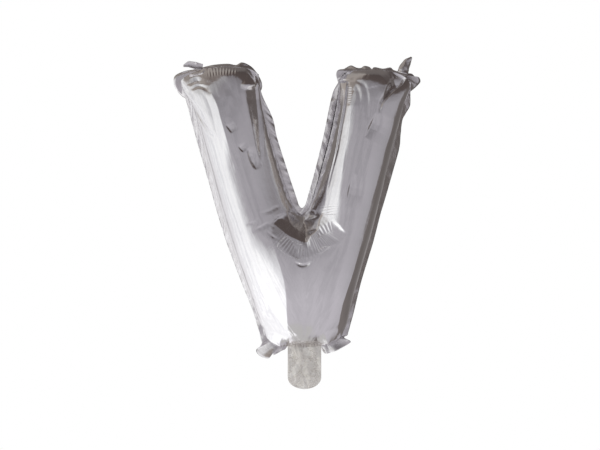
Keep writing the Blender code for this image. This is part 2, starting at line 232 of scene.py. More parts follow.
def double(a, axis):
    # twice as many rows or columns, the new ones on a cubic between their neighbours
    a = np.moveaxis(a, axis, 0)
    b = np.empty((2 * len(a) - 1,) + a.shape[1:], a.dtype)
    b[::2] = a
    middle = 0.5 * (a[1:] + a[:-1])
    middle[1:-1] = (-a[:-3] + 9 * a[1:-2] + 9 * a[2:-1] - a[3:]) / 16
    b[1::2] = middle
    return np.moveaxis(b, 0, axis)


blowing = {
    "armRows": 20, "stemRows": 22, "halfColumns": 16,
    "depth": 6, "shake": [0.05, 0.15, 0.05],    # where the films start, in front of and behind the seam
    # turns, pressure, squeeze: first with the seam held loosely, then drawn to its place
    "loose": (1200, 0.03, 0.05), "looseHold": 0.1,
    "drawn": (800, 0.03, 0.05),
    # and bend, on a grid that is twice as fine each time
    "finer": [(500, 0.008, 0.3, 0.0), (300, 0.0025, 0.6, 0.01), (140, 0.0007, 0.6, 0.03)],
    "unevenness": 0.05,
}


def blowUp():
    b = blowing
    films = Films(b["armRows"], b["stemRows"], b["halfColumns"])
    p = np.zeros((2, films.rows, films.cols, 3), np.float32)
    p[..., 0], p[..., 2] = films.flat[..., 0] + crotch[0], films.flat[..., 1] + crotch[1]
    p[0, ..., 1], p[1, ..., 1] = -b["depth"] * ~films.seam, b["depth"] * ~films.seam
    p += np.random.default_rng(0).normal(0, b["shake"], p.shape[1:]).astype(np.float32)
    films.weld(p)
    films.firm *= b["looseHold"]
    p = relax(films, p, *b["loose"])
    films.firm *= 1 / b["looseHold"]
    p = relax(films, p, *b["drawn"])
    noise = np.random.default_rng(5)
    for settings in b["finer"][:3]:
        h = films.half
        p = double(p, 1)
        p = np.concatenate([double(p[:, :, :h + 1], 2), double(p[:, :, h + 1:], 2)], 2)
        films = Films(2 * films.arm, 2 * films.stem, 2 * h)
        p += noise.normal(0, b["unevenness"], p.shape).astype(np.float32)
        films.weld(p)
        p = relax(films, p, *settings)
        print("blown up on a grid of", films.rows, "by", films.cols)
    return films, p.astype(float)


# Folds pressed into the blown films, seen from the front, in millimetres.
# A fold is a line of (x, z) points, how deep it goes (less than 0: raised), and how far it reaches to
# its left or lower side and to its right or upper side. Depth and reach run evenly along the line.

folds = [
    # left arm: two small arcs at the top of its round side
    ([(-127, -30), (-121, -27), (-114, -29), (-108, -35)], (0.3, 1.2, 0.3), (3,), (4,)),
    ([(-130, -24), (-122, -20.5), (-112.5, -23.5)], (0.3, 1.6, 0.3), (3,), (6,)),
    # the lobe at the inner corner hangs over its lower edge
    ([(-71, -26), (-64, -27.5), (-56, -26), (-50, -22)], (0, -4, -4.5, -1), (4,), (8, 20, 22, 18)),
    # three slits in its flat front, the lowest one broad
    ([(-86.6, -73), (-83.2, -78), (-79.8, -83.5)], (0.2, 2, 1.8, 0), (1.8,), (9,)),
    ([(-72.2, -98), (-69.6, -101.5), (-66.3, -105.5)], (0.2, 1.8, 1.6, 0), (1.7,), (9,)),
    ([(-62, -101), (-59.5, -106), (-57, -114.5), (-51.3, -126)], (0, 2.8, 2.4, 0), (3.0,), (9,)),
    # right arm: its far side turns away at an edge that runs on down the stem
    ([(117, -35), (110, -66), (105, -83), (98, -107), (90, -142), (82.5, -171), (74.5, -202), (67, -220),
      (58, -249), (49.5, -274), (45, -293), (42.5, -314)],
     (0, -1.2, -1.5, -1.5, -1.8, -2.2, -2.4, -1.5), (22,), (9, 9, 9, 10, 12, 12)),
    # left side of the stem's flat front
    ([(-39, -190), (-29.5, -219.5), (-21, -245.5), (-17, -266.5), (-16, -290), (-15.5, -311)],
     (0, -2, -2.6, -2.6, -2), (22,), (22,)),
    # right arm, the dent at the outer corner: the edge of the flat front, then that of the outer lobe
    ([(88.5, -9.4), (93.7, -17.2), (99.7, -26), (98, -35.4), (94.4, -47.2)],
     (-1, -2, -2.5, -2, -0.5), (22, 22, 20, 14, 8), (16, 12, 7, 4, 3)),
    ([(122, -17), (116.8, -24), (106.7, -31.9), (99.7, -40), (94.4, -47.2), (90.3, -59.6)],
     (4, 8, 8, 5, 2.5, 0.4), (18, 14, 9, 5, 4, 3), (2,)),
    # and the arcs at its inner corner
    ([(41, -23.6), (47, -20), (54.3, -20), (61.4, -19)], (0.8, 1.2, 0.6), (3,), (2,)),
    ([(61.4, -21), (69.6, -23.6), (75, -29.5), (77.3, -43.7), (77, -64)], (0.3, 0.8, 0.2), (4.5,), (3.5,)),
    ([(59, -25), (64.3, -27), (67.8, -38), (68, -54)], (0.2, 0.5, 0.1), (4,), (3,)),
    # two slits in its front
    ([(88, -59), (82.5, -72), (74, -88.5)],
     (0, 1.4, 2.8, 2.8, 1.4, 0), (1.2, 1.8, 2.8, 2.8, 1.8, 1.2), (26,)),
    ([(60.4, -131), (56, -149), (52, -169)],
     (0, 1.2, 2.4, 2.4, 1.2, 0), (1, 1.6, 2.5, 2.5, 1.6, 1), (24,)),
    # short creases where the left arm meets the stem
    ([(-47.6, -177), (-37.8, -173.5), (-28.7, -168.6)], (0, 0.9, 0.6), (5,), (1.4,)),
    ([(-63.7, -190), (-55.5, -187), (-48.4, -183.7)], (0, 0.9, 0), (5,), (1.5,)),
    ([(-56.6, -198), (-49.6, -194), (-38.7, -188)], (0, 1.2, 0.4), (5,), (1.8,)),
    ([(-40.7, -196.7), (-32, -203.5), (-24.2, -209)], (0, 0.8, 0), (3,), (2,)),
    # the foot is fuller on both sides of the dome over the neck
    ([(20, -330), (30, -328), (42, -323)], (0, -3, -2), (8,), (13,)),
    ([(-34, -326), (-25, -330), (-14, -331)], (-3, -4, 0), (8,), (12,)),
    # the slit under the fan of the crotch
    ([(-6.5, -232.8), (-3, -234.6), (1.8, -235.8), (7, -234.6), (10.2, -232.6)],
     (0.6, 2.4, 2.9, 2.4, 0.6), (2, 3.6, 4, 3.6, 2), (1,)),
]

# Larger ones, pressed straight back instead of square to the film.
slitLine = [(54.9, -23.6), (53, -35.4), (50.6, -51.9), (47.8, -67.3), (44, -87.3), (41.3, -103.8),
            (36.9, -121.5), (32.7, -138.1), (30.4, -154.6), (29.5, -169.9)]
broadFolds = [
    # right arm: the film rises to a long slit, then on to an edge on its right
    (slitLine, (0, -1.5, -3, -3.5, -3.5, -3, -1), (10, 11, 12, 12, 11), (4, 6, 8.5, 9.7, 13, 14, 13)),
    (slitLine, (2, 3, 3.4, 3.4, 3.2, 2, 1.2, 1, 0.8, 0), (1.1,), (2.6,)),
    ([(57.8, -33), (57.3, -46), (56, -72), (53.7, -88.5), (50.7, -108.6), (48.1, -127.4), (45.4, -146.3),
      (43, -167.6), (41.9, -177)],
     (0, -3.2, -3.4, -3.6, -4, -4.2, -4, -3, -1), (8, 18, 20, 22, 24), (20, 20, 20, 22, 24)),
    # left arm: beside the flat front a furrow narrows downwards
    ([(-54.3, -2.4), (-53.7, -28.3), (-51.9, -49.6), (-49.8, -68.4), (-48.4, -89.7), (-47.2, -106.2),
      (-46.6, -121.5)],
     (3, 6, 7.5, 6, 4, 2.6, 0), (10, 11.6, 11.8, 9.5, 7, 4.5, 2.5), (10, 11, 11, 9, 6, 4, 2)),
    # left arm: its round side ends at an edge, behind which the front lies back
    ([(-112.7, -27.7), (-106.2, -34.8), (-101.5, -42.5), (-96.8, -53.1), (-93.7, -64.9), (-89.7, -77.9),
      (-84.4, -95.6), (-80.2, -113.3)],
     (-0.5, -2.5, -3, -2.2, -0.5), (8, 8, 9, 10), (20, 24, 24, 18)),
]

# Below the crotch the film lies in flat facets: corners as (x, z, height in front of the seam) and the
# three corners of each facet. The corners on the rim lie on the blown film, so that the two join.
crotchFacets = {
    "points": {
        "a": (-28.3, -181.7, 25.5), "b": (-31.9, -186.4, 31), "c": (-11.8, -188.8, 23),
        "d": (-14.2, -201.8, 35), "e": (-1.2, -198.2, 28), "f": (-4.7, -206.5, 36),
        "g": (5.9, -210, 36.5), "m": (-16.5, -175.8, 18.5), "s2": (-8, -169.9, 0),
        "s3": (-2.9, -175.5, 0), "s4": (1.2, -177, 0), "s5": (5.5, -175.5, 0), "s6": (10, -169, 0),
        "k1": (3.5, -186.4, 13), "k2": (6.5, -198.2, 24), "k3": (9, -218.3, 40.3),
        "t1": (22.4, -179.9, 29.5), "t2": (33, -186.4, 36.2), "r1": (10.6, -201.8, 36),
        "r2": (18.9, -195.3, 34.5), "r3": (29.5, -189.4, 35.8), "E0": (13, -171.7, 13.3),
        "E1": (24.8, -176.4, 29), "E2": (36, -184.1, 36.9), "E3": (51.9, -199.4, 40.6),
        "p1": (-34.2, -201.8, 38), "p2": (-18.9, -219.5, 42), "p3": (-4.7, -228.9, 43.9),
        "p4": (9.4, -226.6, 43.3), "p5": (24.8, -218.3, 42), "p6": (43.7, -209.4, 41.2),
    },
    "faces": "s2 m c, s2 c s3, m a c, s3 c e, s3 e k1, s3 k1 s4, a b c, b d c, c d e, d f e, e f g, "
             "e g k2, e k2 k1, b p1 d, p1 p2 d, d p2 f, p2 p3 f, f p3 k3, f k3 g, p3 p4 k3, s4 k1 s5, "
             "s5 k1 t1, s5 t1 E0, s5 E0 s6, k1 k2 t1, E0 t1 E1, k2 r2 t1, r2 r3 t1, t1 r3 t2, k2 r1 r2, "
             "t1 t2 E2, t1 E2 E1, t2 E3 E2, k2 g r1, g k3 r1, k3 p4 p5, r1 k3 p5, r1 p5 r2, r2 p5 p6, "
             "r2 p6 r3, r3 p6 E3, r3 E3 t2",
    "softening": (60, 70, 3),       # half width, half height, rounds of smoothing that soften the edges
}

# Fine ribs across a line: its points, spacing, reach to each side, strength.
ribs = [
    ([(-112, -12), (-95, -9), (-71, -10)], 3.5, 5.0, 1.0),
    ([(57, -26), (56.5, -40), (54.5, -50)], 2.1, 2.4, 1.0),
    ([(48, -30), (47, -42), (45, -50)], 2.1, 1.6, 0.6),
    ([(32, -166), (33, -174), (36, -184)], 3.0, 9.0, 0.5),
    ([(13, -224), (22, -220), (33, -213), (44, -209)], 3.0, 2.5, 0.5),
    ([(13, -203), (21, -197), (30, -192), (37, -190)], 4.2, 6.0, 1.0),
    ([(-24, -207), (-16, -214), (-7, -219), (4, -221)], 3.6, 8.0, 0.8),
    ([(-28, -331), (-10, -333), (8, -334), (34, -330)], 3.3, 3.5, 0.8),
]

# The fan of ribs round the crotch: the distances over which it comes and goes, its first and last angle,
# how many ribs, how strong.
fan = {"from": 8.0, "to": 60.0, "comesIn": 8, "goesIn": 16, "left": -58.0, "right": 62.0, "count": 34,
       "strength": 0.3}

# Where the small puckers of the blown film are smoothed away: centre, half width, half height, rounds
calmZones = [
    ((-95, -14), 52, 26, 60),
    ((88, -14), 50, 26, 60),
    ((1, -200), 58, 40, 40),
    ((4, -322), 60, 26, 60),
]

# How much higher the film below the crotch sits than the plain cut gives.
crotchLift = {"height": 20.0, "middle": -250.0, "end": -330.0, "breadth": 38.0}


def smoothLine(points, n):
    # n points on a curve through the given ones: a cubic between each two, level with their neighbours
    p = np.array(points, float)
    p = np.concatenate([2 * p[:1] - p[1:2], p, 2 * p[-1:] - p[-2:-1]])
    t = np.linspace(0, len(points) - 1 - 1e-6, n)
    i = t.astype(int)
    f = (t - i)[:, None]
    a, b, c, d = p[i], p[i + 1], p[i + 2], p[i + 3]
    return 0.5 * (2 * b + (c - a) * f + (2 * a - 5 * b + 4 * c - d) * f ** 2
                  + (3 * b - a - 3 * c + d) * f ** 3)


def measure(x, z, line):
    # for every point: signed distance to the line, and how far along it the nearest place is
    best = np.full(x.shape, 1e9)
    side, share = np.zeros(x.shape), np.zeros(x.shape)
    total = runLength(line)
    for k in range(len(line) - 1):
        (ax, az), (bx, bz) = line[k], line[k + 1]
        dx, dz = bx - ax, bz - az
        length = dx * dx + dz * dz
        t = np.clip(((x - ax) * dx + (z - az) * dz) / length, 0, 1)
        away = np.hypot(x - ax - t * dx, z - az - t * dz)
        nearer = away < best
        best = np.where(nearer, away, best)
        side = np.where(nearer, np.sign(dx * (z - az) - dz * (x - ax)), side)
        share = np.where(nearer, (total[k] + t * (total[k + 1] - total[k])) / total[-1], share)
    return best * side, share


def around(x, z, line, reach):
    # which points lie in the box round a line that keeps this far from it
    return ((x > line[:, 0].min() - reach) & (x < line[:, 0].max() + reach)
            & (z > line[:, 1].min() - reach) & (z < line[:, 1].max() + reach))


def evenly(share, values):
    # the value at a share of the way along a line on which the values stand at even distances
    return np.interp(share, np.linspace(0, 1, len(values)), values)


def press(x, z, creases):
    # how far each point moves outwards: - depth * (1 - distance / reach) ^ 1.1, almost straight walls
    push = np.zeros(x.shape)
    for points, depths, before, after in creases:
        line = smoothLine(points, 4 * len(points))
        reach = max(before + after)
        near = around(x, z, line, reach)
        d, share = measure(x[near], z[near], line)
        width = np.where(d < 0, evenly(share, before), evenly(share, after))
        push[near] -= evenly(share, depths) * np.clip(1 - np.abs(d) / width, 0, 1) ** 1.1
    return push


def ribbing(x, z):
    # per point: how many ribs lie between it and the start, and how strong they are there,
    # strength * e ^ -(distance / reach) ^ 4, less towards both ends of the line
    count, strength = np.zeros(x.shape), np.zeros(x.shape)
    for points, spacing, reach, most in ribs:
        line = smoothLine(points, 12)
        near = around(x, z, line, 2 * reach)
        d, share = measure(x[near], z[near], line)
        count[near] = share * runLength(line)[-1] / spacing
        strength[near] = most * np.exp(-(d / reach) ** 4) * np.clip(np.minimum(share, 1 - share) * 8, 0, 1)
    away = np.hypot(x - crotch[0], z - crotch[1])
    turn = np.degrees(np.arctan2(x - crotch[0], crotch[1] - z))
    share = (turn - fan["left"]) / (fan["right"] - fan["left"])
    uneven = 0.6 * np.sin(0.11 * turn + 1.0) + 0.25 * np.sin(0.31 * turn + 0.12 * away)
    here = (fan["strength"] * np.clip(np.minimum(share, 1 - share) * 8, 0, 1)
            * np.clip((away - fan["from"]) / fan["comesIn"], 0, 1)
            * np.clip((fan["to"] - away) / fan["goesIn"], 0, 1))
    stronger = here > strength
    count = np.where(stronger, fan["count"] * share + uneven, count)
    return count, np.where(stronger, here, strength)


def outwardOf(p, side):
    # the film's normal at each grid point, out of the balloon
    n = np.cross(np.gradient(p, axis=1), np.gradient(p, axis=0)) * side
    n /= np.linalg.norm(n, axis=-1, keepdims=True) + tiny
    return n


def lift(p):
    # moved up by height * shape * e ^ -(x / breadth) ^ 2, where shape goes from 0 to 1 and back in z
    c = crotchLift
    x, z = p[..., 0] - crotch[0], p[..., 2]
    shape = np.where(z > c["middle"], np.clip(1 - (z - c["middle"]) / (crotch[1] - c["middle"]), 0, 1),
                     np.clip(1 - (c["middle"] - z) / (c["middle"] - c["end"]), 0, 1))
    shape = shape * shape * (3 - 2 * shape)
    p[..., 2] += c["height"] * shape * np.exp(-(x / c["breadth"]) ** 2)


def calm(films, p, zones):
    # every point of a zone moves towards the mean of its four neighbours, the seam stays
    h, every = films.half, np.arange(films.cols)
    leftOf, rightOf = np.maximum(every - 1, 0), np.minimum(every + 1, films.cols - 1)
    leftOf[h + 1], rightOf[h] = h - 1, h + 2
    for (x, z), wide, high, rounds in zones:
        away = np.hypot((p[..., 0] - x) / wide, (p[..., 2] - z) / high)
        share = (np.clip(2.5 * (1 - away), 0, 1) * ~films.seam)[..., None]
        rows = np.flatnonzero(share.any(axis=(0, 2, 3)))
        low, high = max(rows[0] - 1, 0), min(rows[-1] + 2, films.rows)
        q, share = p[:, low:high], share[:, low:high]
        for turn in range(rounds):
            mean = 0.5 * (q[:, :, leftOf] + q[:, :, rightOf])
            mean[:, 1:-1] = 0.5 * mean[:, 1:-1] + 0.25 * (q[:, 2:] + q[:, :-2])
            q += share * (mean - q)


def facets(x, z, height):
    # inside a facet the height is a * ha + b * hb + c * hc, a + b + c = 1, over its three corners
    corners = crotchFacets["points"]
    for face in crotchFacets["faces"].split(", "):
        (ax, az, ha), (bx, bz, hb), (cx, cz, hc) = (corners[name] for name in face.split())
        area = (bx - ax) * (cz - az) - (cx - ax) * (bz - az)
        b = ((x - ax) * (cz - az) - (cx - ax) * (z - az)) / area
        c = ((bx - ax) * (z - az) - (x - ax) * (bz - az)) / area
        inside = (b >= 0) & (c >= 0) & (b + c <= 1)
        height[inside] = (ha + b * (hb - ha) + c * (hc - ha))[inside]
    return height


def fold(films, p):
    # the back film has the same folds as the front film, the other way round
    lift(p)
    calm(films, p, calmZones)
    free = 1.0 * ~films.seam
    h = films.half
    halves = [(k, side, cols) for k, side in ((0, -1), (1, 1))
              for cols in (slice(0, h + 1), slice(h + 1, None))]

    def seen(q, k):
        return (q[..., 0] if k == 0 else 2 * crotch[0] - q[..., 0]), q[..., 2]
    for k, side, cols in halves:
        q = p[k, :, cols]
        x, z = seen(q, k)
        q[..., 1] = side * (facets(x, z, side * q[..., 1]) + press(x, z, broadFolds) * free[:, cols])
    calm(films, p, [(crotch, *crotchFacets["softening"])])
    lines = np.zeros(p.shape[:3] + (2,))
    for k, side, cols in halves:
        q = p[k, :, cols]
        x, z = seen(q, k)
        lines[k, :, cols, 0], lines[k, :, cols, 1] = ribbing(x, z)
        q += outwardOf(q, side) * (press(x, z, folds) * free[:, cols])[..., None]
    return lines


# Meshes.

def gridMesh(name, points, cut, live=None, flip=False, lines=None):
    # a mesh from a grid of points in millimetres (rows, columns, 3); cut holds the flat place of each,
    # lines its count of ribs and their strength
    rows, cols = points.shape[:2]
    index = np.arange(rows * cols).reshape(rows, cols)
    quads = np.stack([index[:-1, :-1], index[1:, :-1], index[1:, 1:], index[:-1, 1:]], -1)
    quads = quads[live] if live is not None else quads.reshape(-1, 4)
    if flip:
        quads = quads[:, ::-1]
    mesh = bpy.data.meshes.new(name)
    mesh.vertices.add(rows * cols)
    mesh.vertices.foreach_set("co", (points.reshape(-1) * mm).astype(np.float32))
    mesh.loops.add(quads.size)
    mesh.loops.foreach_set("vertex_index", quads.reshape(-1).astype(np.int32))
    mesh.polygons.add(len(quads))
    mesh.polygons.foreach_set("loop_start", np.arange(0, quads.size, 4, dtype=np.int32))
    mesh.update(calc_edges=True)
    for layerName, values in (("cut", cut * mm), ("ribs", lines)):
        if values is not None:
            layer = mesh.uv_layers.new(name=layerName)
            values = values.reshape(-1, 2)[quads.reshape(-1)]
            layer.data.foreach_set("uv", values.astype(np.float32).reshape(-1))
    mesh.validate()
    mesh.shade_smooth()
    piece = bpy.data.objects.new(name, mesh)
    bpy.context.scene.collection.objects.link(piece)
    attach(piece, "root")
    return piece


def thicken(piece, thickness):
    wall = piece.modifiers.new("wall", "SOLIDIFY")
    wall.thickness = thickness * mm
    wall.offset = 0
    return piece


def dress(piece, node, material):
    # a piece takes a node's place and gets its finish
    piece.data.materials.append(material)
    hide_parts(node)


def ripple(s, seed, longest, shortest, count=6):
    # a smooth uneven wave along s: a sum of sines of lengths between the two, about -1 to 1
    r = np.random.default_rng(seed)
    lengths = np.geomspace(longest, shortest, count) * r.uniform(0.85, 1.15, count)
    phase = r.uniform(0, 2 * np.pi, count)
    waves = np.sin(2 * np.pi * s[..., None] / lengths + phase) * lengths / longest
    return waves.sum(-1)


# Finishes.

def nodeTree(name):
    material = bpy.data.materials.new(name)
    material.use_nodes = True
    tree = material.node_tree
    return material, tree, tree.nodes["Principled BSDF"]


def noiseNode(tree, vector, scale, detail=3.0, roughness=0.55):
    node = tree.nodes.new("ShaderNodeTexNoise")
    node.inputs["Scale"].default_value = scale
    node.inputs["Detail"].default_value = detail
    node.inputs["Roughness"].default_value = roughness
    tree.links.new(vector, node.inputs["Vector"])
    return node.outputs["Fac"]


def ramp(tree, value, stops):
    node = tree.nodes.new("ShaderNodeValToRGB")
    element = node.color_ramp.elements
    while len(element) < len(stops):
        element.new(0.5)
    for e, (place, colour) in zip(element, stops):
        e.position = place
        e.color = (*colour, 1.0)
    tree.links.new(value, node.inputs["Fac"])
    return node.outputs["Color"]


def greyRamp(tree, value, stops):
    return ramp(tree, value, [(place, (grey,) * 3) for place, grey in stops])


def remap(tree, value, low, high):
    node = tree.nodes.new("ShaderNodeMapRange")
    node.inputs["To Min"].default_value = low
    node.inputs["To Max"].default_value = high
    tree.links.new(value, node.inputs["Value"])
    return node.outputs["Result"]


def bump(tree, height, distance, below=None):
    node = tree.nodes.new("ShaderNodeBump")
    node.inputs["Distance"].default_value = distance
    tree.links.new(height, node.inputs["Height"])
    if below is not None:
        tree.links.new(below, node.inputs["Normal"])
    return node.outputs["Normal"]


def relief(tree, vector, size, below=None):
    # one layer of relief on those below: noise of a scale and a detail, so many metres high
    scale, detail, height = size
    return bump(tree, noiseNode(tree, vector, scale, detail), height, below)


def uvNode(tree, layer="cut"):
    node = tree.nodes.new("ShaderNodeUVMap")
    node.uv_map = layer
    return node.outputs["UV"]


def calc(tree, how, a, b=None):
    # one step of arithmetic; a and b are numbers or sockets
    node = tree.nodes.new("ShaderNodeMath")
    node.operation = how
    for socket, value in zip(node.inputs, (a, b)):
        if isinstance(value, (int, float)):
            socket.default_value = value
        elif value is not None:
            tree.links.new(value, socket)
    return node.outputs[0]


def mix(tree, share, a, b):
    # a * (1 - share) + b * share; a and b are colours or sockets
    node = tree.nodes.new("ShaderNodeMix")
    node.data_type = "RGBA"
    tree.links.new(share, node.inputs["Factor"])
    for socket, value in ((node.inputs[6], a), (node.inputs[7], b)):
        if isinstance(value, tuple):
            socket.default_value = (*value, 1.0)
        else:
            tree.links.new(value, socket)
    return node.outputs[2]


def ribHeight(tree):
    # sin(2 pi * ribs so far) * strength
    both = tree.nodes.new("ShaderNodeSeparateXYZ")
    tree.links.new(uvNode(tree, "ribs"), both.inputs[0])
    wave = calc(tree, "SINE", calc(tree, "MULTIPLY", both.outputs["X"], 2 * math.pi))
    return calc(tree, "MULTIPLY", wave, both.outputs["Y"])


def lengthwise(tree, cut, length):
    # (|x| cos a - z sin a, z / length): noise on it runs along both arms as long streaks
    a = math.radians(flatCut["notchAngle"])
    place, streak = tree.nodes.new("ShaderNodeSeparateXYZ"), tree.nodes.new("ShaderNodeCombineXYZ")
    tree.links.new(cut, place.inputs[0])
    across = calc(tree, "MULTIPLY", calc(tree, "ABSOLUTE", place.outputs["X"]), math.cos(a))
    across = calc(tree, "SUBTRACT", across, calc(tree, "MULTIPLY", place.outputs["Y"], math.sin(a)))
    tree.links.new(across, streak.inputs["X"])
    tree.links.new(calc(tree, "DIVIDE", place.outputs["Y"], length), streak.inputs["Y"])
    return streak.outputs[0]


def coatedFilm(name, finish):
    # clouds of two colours and a sheen that varies, both laid out on the flat cut
    material, tree, shader = nodeTree(name)
    cut = uvNode(tree)
    shader.inputs["Metallic"].default_value = finish["metallic"]
    clouds = ramp(tree, noiseNode(tree, cut, finish["clouds"]), finish["colours"])
    tree.links.new(clouds, shader.inputs["Base Color"])
    sheen = remap(tree, noiseNode(tree, cut, finish["sheen"]), *finish["roughness"])
    tree.links.new(sheen, shader.inputs["Roughness"])
    return material, tree, shader, cut


mirrorFinish = {
    "metallic": 1.0,
    "clouds": 14, "colours": [(0.3, (0.86, 0.85, 0.86)), (0.7, (0.93, 0.925, 0.93))],
    "sheen": 45, "roughness": (0.07, 0.17),
    # layers of relief: scale, detail and height in metres
    "waves": (60, 2.0, 0.0003), "streaks": (130, 3.0, 0.00035), "grain": (420, 4.0, 0.00005),
    "streakLength": 12.0, "ribs": 0.00014,
}


def mirrorFoil():
    finish = mirrorFinish
    material, tree, shader, cut = coatedFilm("mirror foil", finish)
    waves = relief(tree, cut, finish["waves"])
    streaks = relief(tree, lengthwise(tree, cut, finish["streakLength"]), finish["streaks"], waves)
    grain = relief(tree, cut, finish["grain"], streaks)
    tree.links.new(bump(tree, ribHeight(tree), finish["ribs"], grain), shader.inputs["Normal"])
    return material


sealFinish = {
    "metallic": 1.0,
    "clouds": 90, "colours": [(0.35, (0.74, 0.72, 0.72)), (0.65, (0.9, 0.89, 0.9))],
    "sheen": 120, "roughness": (0.14, 0.34),
    "mottle": (160, 3.0, 0.0006), "grain": (900, 2.0, 0.0001),
}


def sealedFoil():
    material, tree, shader, cut = coatedFilm("sealed foil", sealFinish)
    mottle = relief(tree, cut, sealFinish["mottle"])
    tree.links.new(relief(tree, cut, sealFinish["grain"], mottle), shader.inputs["Normal"])
    return material


clearFinish = {
    "metallic": 0.4,
    "clouds": 70, "darker": 0.8,
    "sheen": 60, "roughness": (0.06, 0.25),
    # the streaks are painted highlights: where the film is made clearer, the white backdrop shows through as
    # bright patches
    "streaks": (75, 1.0), "paintedHighlightClearness": [(0.36, 0.2), (0.46, 1.0), (0.62, 0.7)], "leastAlpha": 0.7,
    "crinkles": (55, 1.0, 0.002),
}


def clearFilm(name, colour, alpha):
    # half clear, with clouds of a darker colour; in streaks it is clearer still, so that the white backdrop
    # shows through as painted highlights
    dark = tuple(clearFinish["darker"] * c for c in colour)
    finish = {**clearFinish, "colours": [(0.35, dark), (0.65, colour)]}
    material, tree, shader, cut = coatedFilm(name, finish)
    # painted highlights: streaks where the film lets more of the white backdrop through
    streaks = greyRamp(tree, noiseNode(tree, cut, *finish["streaks"]), finish["paintedHighlightClearness"])
    tree.links.new(remap(tree, streaks, finish["leastAlpha"] * alpha, alpha), shader.inputs["Alpha"])
    tree.links.new(relief(tree, cut, finish["crinkles"]), shader.inputs["Normal"])
    return material


foil, seal = mirrorFoil(), sealedFoil()
neckFilm = clearFilm("neck film", (0.72, 0.68, 0.62), 0.58)
valveFilm = clearFilm("valve film", (0.8, 0.76, 0.62), 0.14)


# The two films.

films, blown = blowUp()
lines = fold(films, blown)
live = np.ones((films.rows - 1, films.cols - 1), bool)
live[:, films.half] = False     # nothing lies between the two halves of the grid
front = gridMesh("front_film", blown[0], films.flat, live, lines=lines[0])
back = gridMesh("back_film", blown[1], films.flat, live, flip=True, lines=lines[1])
dress(front, "front_panel", foil)
dress(back, "back_panel", foil)
print("films made")


# The sealed border round them.

borders = {
    # name: node, then its free edge as (x, y, z) in millimetres
    "side_border_left": ("side_seal_left", [
        (-46, 0, -329), (-56, 2, -294), (-71, 4, -256), (-88, 4.5, -210.5), (-98.5, 4.5, -177),
        (-110, 4.5, -136), (-123, 4, -91), (-133, 3, -53), (-134.5, 2, -41.5)]),
    "top_border_left": ("top_seal_left", [
        (-134.5, 2, -41.5), (-141, 3, -37.5), (-147, 3, -31), (-150, 2, -23), (-149, 1, -14),
        (-139, 1, -8.5), (-124, 4, -5.5), (-111, 6, -2), (-98, 7, 0.5), (-86, 7, 1), (-77, 6, -0.5),
        (-70, 7, 2.5), (-60, 7, -1.5), (-53, 7, -9), (-48, 6, -17.5), (-46, 5, -25), (-47.5, 3, -31),
        (-50.5, 0, -34)]),
    "notch_border": ("notch_seal", [
        (-50.5, 0, -34), (-42.5, 1, -45), (-33, 1, -65.5), (-28, 0, -88), (-14, 0, -132), (-5.3, 0, -158),
        (-3, 0, -165.5), (-0.8, 0, -169), (1.2, 0, -170), (3.2, 0, -169), (5.5, -1, -165.5), (7.7, -3, -158),
        (15, -5, -132), (26, -7.5, -88), (33.5, -8, -51), (38, -4, -33), (44, 0, -22)]),
    "top_border_right": ("top_seal_right", [
        (44, 0, -22), (41.5, -7, -14.5), (42.5, -6, -9), (46.5, 1, -6.5), (51, 7, -5), (59, 8, -0.8),
        (65, 8, -3.2), (71, 8, -3.8), (75, 8, -1.5), (81, 8, -2.5), (84, 8, -5), (87, 8, -3), (97, 9, -4.5),
        (106, 9, -3.2), (110, 7, -6.5), (121, 8, -9.5), (131, 9, -10.5), (135, 9, -14), (140, 12, -14.5),
        (142, 13, -19), (140, 12, -22.5), (135, 7, -27.5), (129, 1, -32.5)]),
    "side_border_right": ("side_seal_right", [
        (129, 1, -32.5), (129.5, 5, -40), (129, 8, -49), (124, 7, -58), (120, 6, -66), (118, 8, -83),
        (116.5, 9, -99), (108, 9, -130), (101, 9, -154.5), (93.5, 8, -179.5), (85.5, 8, -210.5),
        (71.5, 7, -256.5), (62.5, 6, -293), (55, 2, -320)]),
    "foot_border_right": ("foot_seal_right", [
        (55, 1, -320), (51, -3, -323), (58.5, -4, -328), (43, -3, -337), (31, -2, -341.5), (27, 0, -340.5),
        (24.5, 0, -337)]),
    "foot_border_left": ("foot_seal_left", [
        (-19, 0, -337), (-23, 1, -338.5), (-32, 3, -343.5), (-34, 0, -340.5), (-35.5, -4, -344),
        (-39, -6, -347), (-47, -1, -345.5), (-52.5, 3, -341), (-52.5, 4, -337), (-49, 2, -334),
        (-46, 0, -329)]),
}
borderWaves = {
    "columns": 8, "pointsEach": 12, "thickness": 0.3,
    "long": 30.0, "short": 8.0, "growth": 1.3,
    # how far each border swings, in millimetres, 1 where none is given
    "swing": {"side_border_left": 0.5, "side_border_right": 0.5, "notch_border": 0.8,
              "foot_border_left": 1.8, "foot_border_right": 1.8},
    "firstSeed": 20,
}


def seamLoop():
    # once round the seam, clockwise from the left foot corner, and where each stretch of it ends
    p, h, arm = blown[0], films.half, films.arm
    notch = np.concatenate([p[1:arm + 1, h], p[arm - 1::-1, h + 1]])
    foot = np.concatenate([p[-1, -2:h:-1], p[-1, h - 1:0:-1]])
    parts = [p[::-1, 0], p[0, 1:h + 1], notch, p[0, h + 2:], p[1:, -1], foot]
    return np.concatenate(parts), np.cumsum([len(part) for part in parts])


